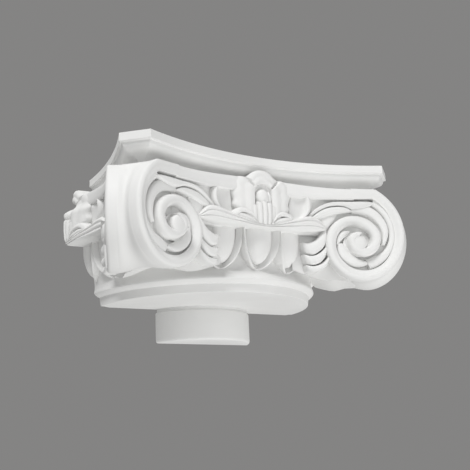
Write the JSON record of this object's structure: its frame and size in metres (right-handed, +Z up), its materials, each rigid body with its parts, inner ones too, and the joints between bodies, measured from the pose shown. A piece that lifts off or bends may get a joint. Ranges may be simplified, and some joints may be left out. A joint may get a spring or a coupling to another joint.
{
  "type": "ionic half capital",
  "caption": "Angular Ionic half capital for a wall column: corner volutes, flower, egg-and-dart ring, hollow-sided abacus and a half-round spigot below.",
  "frame": {"origin": "on the flat back that meets the wall, on the column's axis, level with the underside of the collar", "axes": "+Z up, +Y into the wall, +X to the right of someone facing the wall"},
  "size_m": [0.3972, 0.1986, 0.2],
  "materials": {
    "white_cast": "matte white primed casting"
  },
  "bodies": {
    "root": {"capital": "white_cast"}
  },
  "joints": []
}
